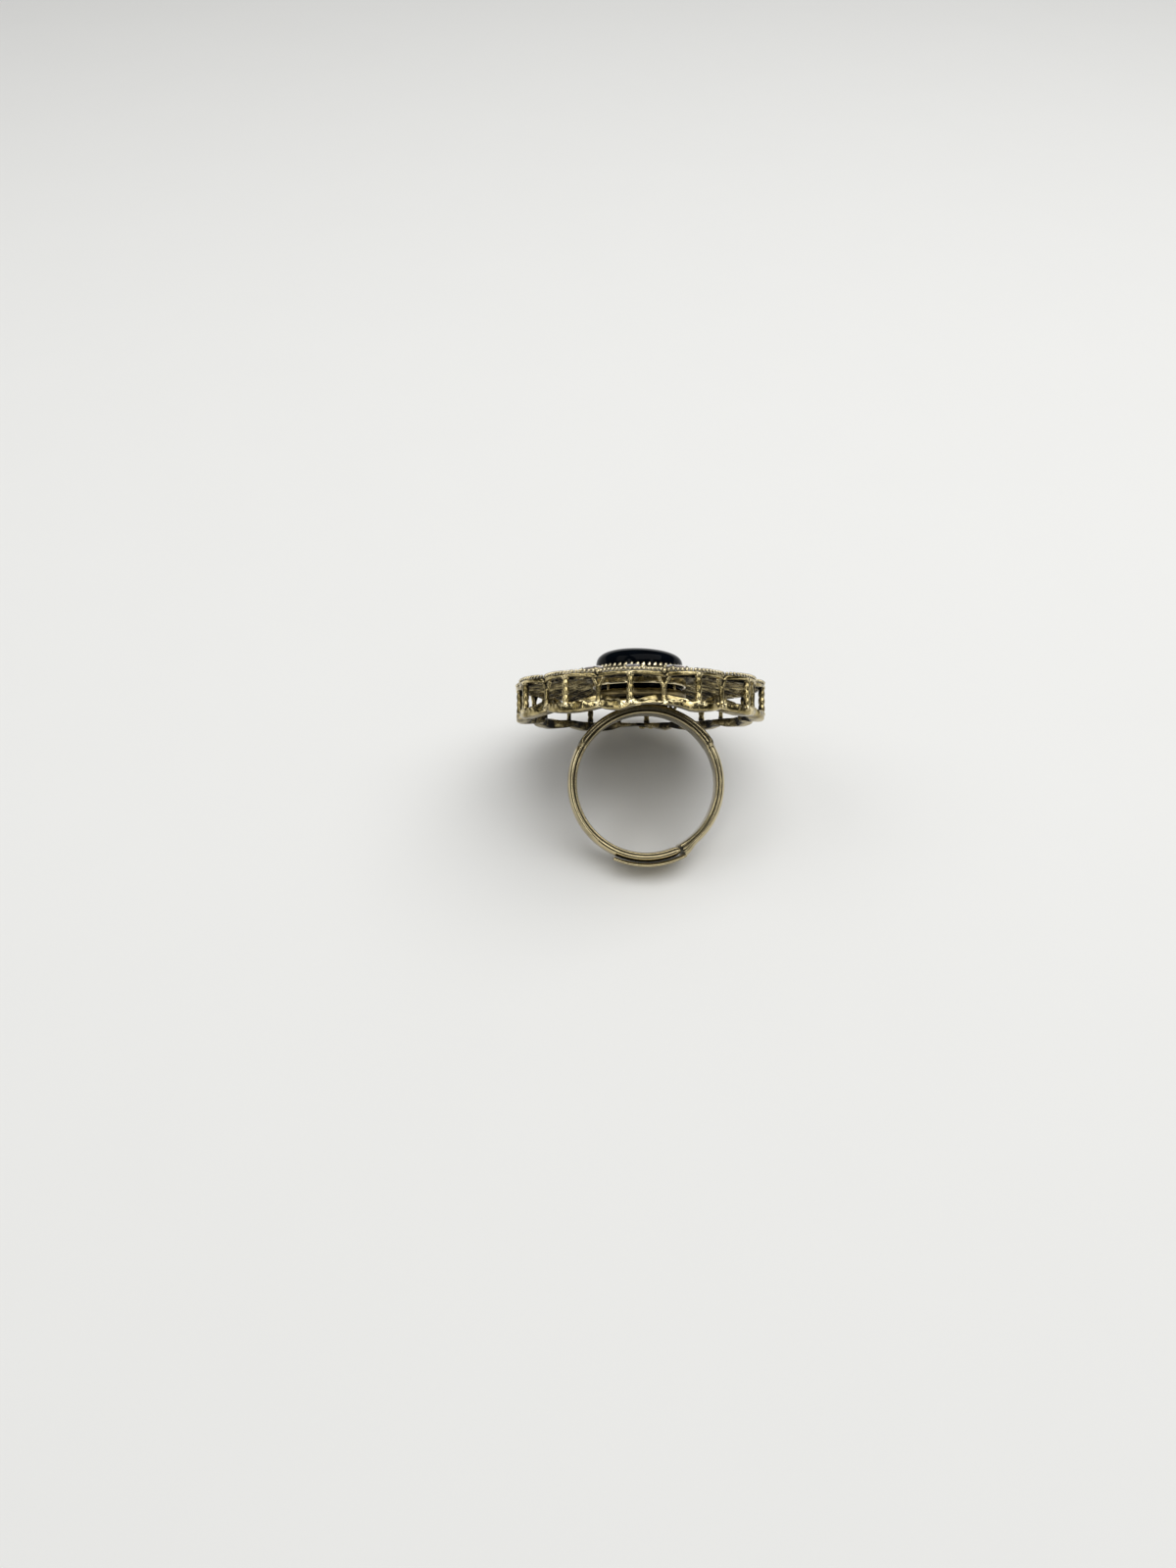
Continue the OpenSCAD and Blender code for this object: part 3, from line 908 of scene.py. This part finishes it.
# Cup setting with four prongs, made once and copied to every petal.
def colletPattern(look):
    half, r, sink = look["colletHeight"] / 2, look["radius"], look["sink"]
    thick, wall = look["prong"], look["wall"]
    profile = [(r - 0.35, -half), (r, -half), (r + 0.12, -half * 0.3), (r + wall - 0.05, half - 0.12),
               (r + wall - 0.07, half), (r + 0.04, half), (r + 0.01, half * 0.4),
               (r - 0.35, half * 0.1)]
    profile = [(x, z if z < 0 else z - sink) for x, z in profile]
    points, faces = revolve(profile, 48)
    cup = meshObject("collet", points, faces, castGold)
    grip = tube([(0, -r - 0.12, half - sink - 0.4), (0, -r - 0.1, half - sink),
                 (0, -r + 0.12, half - sink + 0.12)], [thick, thick, thick * 0.8], 8)
    prong = meshObject("prongPattern", *grip)
    piece = grow(cup, repeatAround, Pattern=prong, Count=4, Turn=math.pi / 4, Uneven=0.1, Seed=4,
                 Metal=castGold)
    return finishPattern(piece, prong)


colletMaster = colletPattern(accentSizes)
for k in range(1, petals + 1):
    collet = addObject("accentCollet%02d" % k, colletMaster.data.copy())
    settle(onPetal(collet, k, accentSizes), "head_metal", "accent_collet_%02d" % k)
    settle(accentStone(k, accentSizes), "accent_glass", "accent_stone_%02d" % k)
bpy.data.objects.remove(colletMaster)
print("accent stones made")


seatLook = {"ledge": 2.4, "stay": 0.19, "stays": 4}


def seatRing(look):
    profile = softProfile(stoneR - look["ledge"], bezelR - 0.02, seatZ, stoneZ - 0.01, 20, 0.4)
    points, faces = revolve(profile, 96)
    return faceOutwards(meshObject("stoneSeat", roughen(points, 0.04, 1.7, 2.0), faces, innerGold))


def stayPattern(look):
    y = -(stoneR + bezelR) / 2 - 0.02
    path = [(0, y, stoneZ - 0.18), (0, y, stoneZ + 0.3), (0, y, bezelZ + 0.18)]
    return meshObject("stayPattern", *tube(path, [look["stay"]] * 3))


# A block with soft edges between two corners.
def softBlock(low, high, rows=24, columns=40, square=0.28):
    t = np.linspace(-math.pi / 2, math.pi / 2, rows)[:, None]
    u = ringTurns(columns)
    flat = squared(np.cos(t), square)
    unit = np.stack([flat * squared(np.cos(u), square), flat * squared(np.sin(u), square),
                     squared(np.sin(t), square) + 0 * u], -1)
    low, high = np.array(low), np.array(high)
    return (low + high) / 2 + unit * (high - low) / 2, gridFaces(rows, columns, False, True)


# Solder that has flowed between the crown of the band and the bridge.
def solderPiece():
    low, high = (corner + (headX, 0, 0) for corner in span("solder_saddle"))
    points, faces = softBlock(low, high, 30, 48, 0.5)
    away = np.hypot(points[..., 0], points[..., 2])
    push = np.where(away < bandR - 0.03, (bandR - 0.03) / np.maximum(away, 0.1), 1.0)
    points = np.stack([points[..., 0] * push, points[..., 1], points[..., 2] * push], -1)
    points[..., 2] = np.minimum(points[..., 2], high[2])
    return faceOutwards(meshObject("solderSaddle", roughen(points, 0.04, 1.2, 8.0), faces, solderMetal))


def bridgePiece():
    return faceOutwards(meshObject("seatBridge", *softBlock(*span("seat_bridge")), innerGold))


settle(seatRing(seatLook), "head_metal", "stone_seat")
settle(ringOf("seatStays", stayPattern(seatLook), seatLook["stays"], math.pi / 4, innerGold, 2, 0.0),
       "head_metal", "seat_stays")
settle(bridgePiece(), "head_metal", "seat_bridge")
settle(solderPiece(), "solder", "solder_saddle", centre=0)
print("seat and solder made")


bandSizes = {
    "width": 3.4, "crownWidth": 4.4,
    "shoulder": 59.0,        # degrees from the top
    "tip": 26.0,             # end of the inner tongue, degrees from the bottom
    "slant": -1.3,           # how far the cut between the two ends leans across the strip
    "step": 27.5,            # step of the right strip
    "tongueEnd": 23.5,
    "tongueR": 9.92, "tongue": 0.45, "swell": 14.0,
    "grimeAndShade": 1.0,            # painted shade in the groove beside the inner rim
    # Patina and painted shade over the crown under the head and on the outer side at the shoulders.
    "crownPatinaShade": 0.25,
    "shoulderPatinaShade": 1.3, "shoulderShadeReach": 3.2,
    "sharp": 50,             # edges over this angle stay crisp
    "flex": 3.2,             # half the height over which the strip bends
}


# Half outlines of the strip from its inner corner to the middle of its outer face, as shares of its
# width and thickness: a thin bright rim, a fine groove beside it, then the dome or the flat crown.
rimOutline = [(0.30, 0.0), (0.455, 0.02), (0.49, 0.08), (0.50, 0.17)]
domeOutline = rimOutline + [(0.485, 0.24), (0.462, 0.29), (0.468, 0.34), (0.488, 0.41), (0.492, 0.5),
                            (0.478, 0.62), (0.445, 0.73), (0.385, 0.83), (0.30, 0.91), (0.19, 0.97),
                            (0.07, 1.0)]
crownOutline = rimOutline + [(0.488, 0.24), (0.472, 0.30), (0.474, 0.36), (0.49, 0.44), (0.497, 0.55),
                             (0.498, 0.68), (0.495, 0.80), (0.48, 0.90), (0.42, 0.955), (0.25, 0.99),
                             (0.08, 1.0)]
sectionPoints = 2 * len(domeOutline)
# Painted shade along the groove beside the inner rim.
grooveShade = np.interp(np.array(domeOutline)[:, 1], (0.17, 0.24, 0.34, 0.45), (0.0, 1.0, 1.0, 0.0))


# One cross-section of the strip between two radii.
def bandSection(r0, r1, width, crown):
    half = np.array(domeOutline) * (1 - crown) + np.array(crownOutline) * crown
    y = np.concatenate([half[:, 0], -half[::-1, 0]]) * width
    r = r0 + (r1 - r0) * np.concatenate([half[:, 1], half[::-1, 1]])
    return r, y


# How much of the crown's form the strip has at an angle from the top, in degrees.
def crownShare(fromTop, look):
    share = np.clip((look["shoulder"] + 2 - abs(fromTop)) / 4, 0, 1)
    return share * share * (3 - 2 * share)


# Skins a list of stations (angle, inner radius, outer radius, share of its full width).
def bandSkin(name, stations, look):
    rings, stainAndShadeValues = [], []
    for degrees, r0, r1, share in stations:
        fromTop = (90 - degrees + 180) % 360 - 180
        crown = crownShare(fromTop, look)
        width = look["width"] + (look["crownWidth"] - look["width"]) * crown
        thin = np.clip((0.8 - (r1 - r0)) / 0.2, 0, 1)
        r, y = bandSection(r0, r1, width * share, max(crown, thin))
        fromCut = ((degrees - 270 - look["tip"] + 180) % 360 - 180) / 9
        lean = look["slant"] * math.exp(-fromCut ** 2) * y / (look["width"] / 2)
        a = np.radians(degrees + lean)
        rings.append(np.stack([r * np.cos(a), y, r * np.sin(a)], -1))
        # Patina and painted shade near the shoulders and over the crown, painted shade in the groove.
        fromShoulder = (abs(fromTop) - look["shoulder"]) / look["shoulderShadeReach"]
        near = math.exp(-fromShoulder ** 2) * np.clip((r - (r0 + r1) / 2) * 2.5, 0, 1)
        groove = np.concatenate([grooveShade, grooveShade[::-1]]) * look["grimeAndShade"] * (1 - thin)
        stainAndShadeValues.append(look["shoulderPatinaShade"] * near
                      + look["crownPatinaShade"] * (abs(fromTop) < look["shoulder"]) + groove)
    count = len(rings)
    faces = gridFaces(count, sectionPoints, False, True) + endCaps(count, sectionPoints)
    piece = meshObject(name, rings, faces, bandGold)
    stainAndShadeBy(piece, stainAndShadeValues)
    faceOutwards(piece)
    piece.data.set_sharp_from_angle(angle=math.radians(look["sharp"]))
    return piece


# Stations of a strip that ends round, from angle a to b in degrees.
def roundEnd(r0, r1, a, b, count, ends=7):
    mid, half = (r0 + r1) / 2, (r1 - r0) / 2
    side = 1 if b > a else -1
    reach = math.degrees(half * 1.15 / mid)
    plain = [(x, r0, r1, 1.0) for x in np.linspace(a, b - side * reach, count)]
    for i in range(1, ends + 1):
        s = i / ends
        k = max(0.06, math.sqrt(1 - s * s))
        plain.append((b - side * reach * (1 - s), mid - half * k, mid + half * k, 0.86 + 0.14 * k))
    return plain


def leftBand(look):
    return bandSkin("bandLeft", roundEnd(fingerR, bandR, 90.0, 270 + look["tip"], 200), look)


def rightBand(look):
    top, step, swell = 90.0, -90 + look["step"], look["swell"]
    tongueTop = look["tongueR"] + look["tongue"]
    stations = []
    for x in np.linspace(top, step + 0.12, 150):
        s = np.clip((step + swell - x) / swell, 0, 1)
        swollen = (tongueTop - bandR) * (1 - math.cos(math.pi * s)) / 2
        stations.append((x, fingerR, bandR + swollen, 1.0))
    stations.append((step, fingerR + 0.1, tongueTop, 1.0))
    end = -90 - look["tongueEnd"]
    stations += [(x, look["tongueR"], tongueTop, 0.985) for x in np.linspace(step - 0.02, end + 0.3, 60)]
    stations.append((end, look["tongueR"] + 0.08, tongueTop - 0.08, 0.95))
    return bandSkin("bandRight", stations, look)


# Middle of the strip's thickness, where the hinges for its spring would stand.
pivotX = (fingerR + bandR) / 2 * mm
bandLeft = leftBand(bandSizes)
bandRight = rightBand(bandSizes)
-pivotX
-pivotX
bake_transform(bandLeft)
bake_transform(bandRight)
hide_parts("shank_left", "shank_crown")
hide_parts("shank_right")
print("band made")


stageLook = {
    "paper": (0.80, 0.80, 0.785), "paperRoughness": 0.8, "paperSpecular": 0.2,
    "up": (0, -0.797, 0.604), "rest": (0, 15.6, 7.5),
    "reach": 3.0,            # half the table's side, in metres
    "world": (0.80, 0.80, 0.79),
    "gleam": 0.06, "fill": 0.42,
}


# The pale table that the ring rests on, tipped as the ring lies on it. Its back is clear, so that
# the ring can be seen from that side too.
def tablePiece(look):
    up = Vector(look["up"]).normalized()
    across = Vector((1, 0, 0))
    along = up.cross(across)
    rest = Vector(look["rest"]) * mm
    corners = [rest + across * x * look["reach"] + along * y * look["reach"]
               for x, y in ((-1, -1), (1, -1), (1, 1), (-1, 1))]
    mesh = bpy.data.meshes.new("table")
    mesh.from_pydata([tuple(c) for c in corners], [], [(0, 1, 2, 3)])
    if mesh.polygons[0].normal.dot(up) < 0:
        mesh.flip_normals()
    material, tree, shader = newMaterial("paper")
    fibre = tree.objectPlace().noise(60.0, 6.0)
    feed(shader, Base_Color=fibre.tint([c * 0.985 for c in look["paper"]], look["paper"]),
         Roughness=look["paperRoughness"])
    shader.inputs["Specular IOR Level"].default_value = look["paperSpecular"]
    side = tree.add("ShaderNodeNewGeometry").out("Backfacing")
    clear = tree.add("ShaderNodeBsdfTransparent")
    paper = Wire(material.node_tree, shader.outputs[0])
    mixed = tree.add("ShaderNodeMixShader", {}, {0: side, 1: paper, 2: clear})
    surface = material.node_tree.nodes["Material Output"].inputs["Surface"]
    material.node_tree.links.new(mixed.socket, surface)
    mesh.materials.append(material)
    table = addObject("table", mesh)
    return up


# The window gives the light and the shadow; the cards only draw bright lines on the metal. Each place
# is a way up from the table's face, then a shift. Sizes are in metres, powers in watts.
lightLook = {
    "window": {"up": 0.44, "shift": (0.13, 0.02, 0.07), "size": (0.66, 0.50), "power": 2.42, "card": False},
    "side": {"up": 0.30, "shift": (-0.34, 0, 0.05), "size": (0.20, 0.30), "power": 0.33, "card": False},
    "left": {"up": 0.0, "shift": (-0.20, -0.34, -0.05), "size": (0.05, 0.36), "power": 0.31, "card": True},
    "right": {"up": 0.0, "shift": (0.19, -0.34, -0.05), "size": (0.05, 0.36), "power": 0.15, "card": True},
}


def softbox(name, look, centre, tableUp):
    light = bpy.data.lights.new(name, "AREA")
    light.shape = "RECTANGLE"
    light.size, light.size_y = look["size"]
    light.energy = look["power"]
    lamp = addObject(name, light)
    lamp.location = centre + tableUp * look["up"] + Vector(look["shift"])
    lamp.rotation_mode = "QUATERNION"
    lamp.rotation_quaternion = (centre - lamp.location).to_track_quat("-Z", "Y")
    lamp.visible_diffuse = not look["card"]


# Pale surroundings for the eye, dimmer ones in the reflections, so that the metal keeps its contrast.
def surroundings(look):
    world = bpy.data.worlds.new("studio")
    bpy.context.scene.world = world
    world.use_nodes = True
    tree = Wire(world.node_tree)
    world.node_tree.nodes.clear()
    path = tree.add("ShaderNodeLightPath")

    def sky(strength):
        colour = (*look["world"], 1)
        return tree.add("ShaderNodeBackground", {}, {"Color": colour, "Strength": strength})

    pale, dim, gleam = sky(1.0), sky(look["fill"]), sky(look["gleam"])
    lit = tree.add("ShaderNodeMixShader", {}, {0: path.out("Is Glossy Ray"), 1: dim, 2: gleam})
    seen = tree.add("ShaderNodeMixShader", {}, {0: path.out("Is Camera Ray"), 1: lit, 2: pale})
    tree.add("ShaderNodeOutputWorld", {}, {"Surface": seen})


tableUp = tablePiece(stageLook)
surroundings(stageLook)
for name, look in lightLook.items():
    softbox(name, look, Vector((0, 0, 0.006)), tableUp)
print("stage made")


cameraLook = {"lens": 26.19, "sensor": 36.0, "place": (-10.04, -142.07, -5.5), "rise": 2.19,
              "turn": 1.14}


# Camera close over the ring, looking along the finger and a little up at the back of the head.
def addCamera(look):
    camera = bpy.data.cameras.new("camera")
    camera.lens = look["lens"]
    camera.sensor_width = look["sensor"]
    camera.clip_start = 0.005
    view = addObject("camera", camera)
    rise, turn = math.radians(look["rise"]), math.radians(look["turn"])
    ahead = Vector((math.sin(turn) * math.cos(rise), math.cos(turn) * math.cos(rise), math.sin(rise)))
    view.location = Vector(look["place"]) * mm
    view.rotation_mode = "QUATERNION"
    view.rotation_quaternion = ahead.to_track_quat("-Z", "Y")
    bpy.context.scene.camera = view


addCamera(cameraLook)
bpy.context.scene.view_settings.view_transform = "Standard"
bpy.context.view_layer.update()
